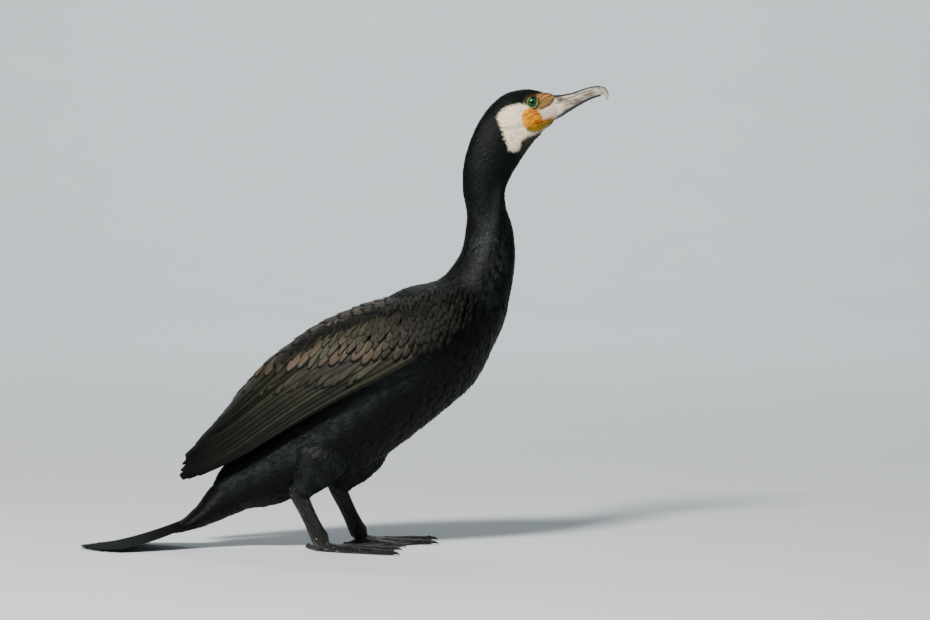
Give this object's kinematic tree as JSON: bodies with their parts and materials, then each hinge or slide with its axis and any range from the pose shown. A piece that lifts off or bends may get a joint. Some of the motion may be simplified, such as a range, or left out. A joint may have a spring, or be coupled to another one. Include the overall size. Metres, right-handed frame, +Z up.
{
  "type": "great cormorant",
  "caption": "Life-size still model of a standing great cormorant, with folded wings of overlapping feathers, a hooked bill, webbed feet and a stiff tail that rests on the floor.",
  "frame": {"origin": "middle of the bounding box, at the level of the soles", "axes": "+X the way the bird faces, +Y towards its left side, +Z up"},
  "size_m": [0.581, 0.1546, 0.509],
  "materials": {
    "plumage": "satin",
    "wing_feather": "satin",
    "horn": "satin",
    "pouch": "matte",
    "eye": "gloss",
    "leg_skin": "satin",
    "claw": "satin"
  },
  "bodies": {
    "root": {"bill_lower": "horn", "bill_upper": "horn", "claw_hallux_left": "claw", "claw_hallux_right": "claw", "claw_inner_left": "claw", "claw_inner_right": "claw", "claw_middle_left": "claw", "claw_middle_right": "claw", "claw_outer_left": "claw", "claw_outer_right": "claw", "eye_left": "eye", "eye_right": "eye", "foot_left": "leg_skin", "foot_right": "leg_skin", "gular_pouch": "pouch", "head": "plumage", "mantle": "wing_feather", "neck_lower": "plumage", "neck_upper": "plumage", "shank_left": "leg_skin", "shank_right": "leg_skin", "tail": "plumage", "thigh_left": "plumage", "thigh_right": "plumage", "torso": "plumage", "wing_left": "wing_feather", "wing_right": "wing_feather"}
  },
  "joints": []
}
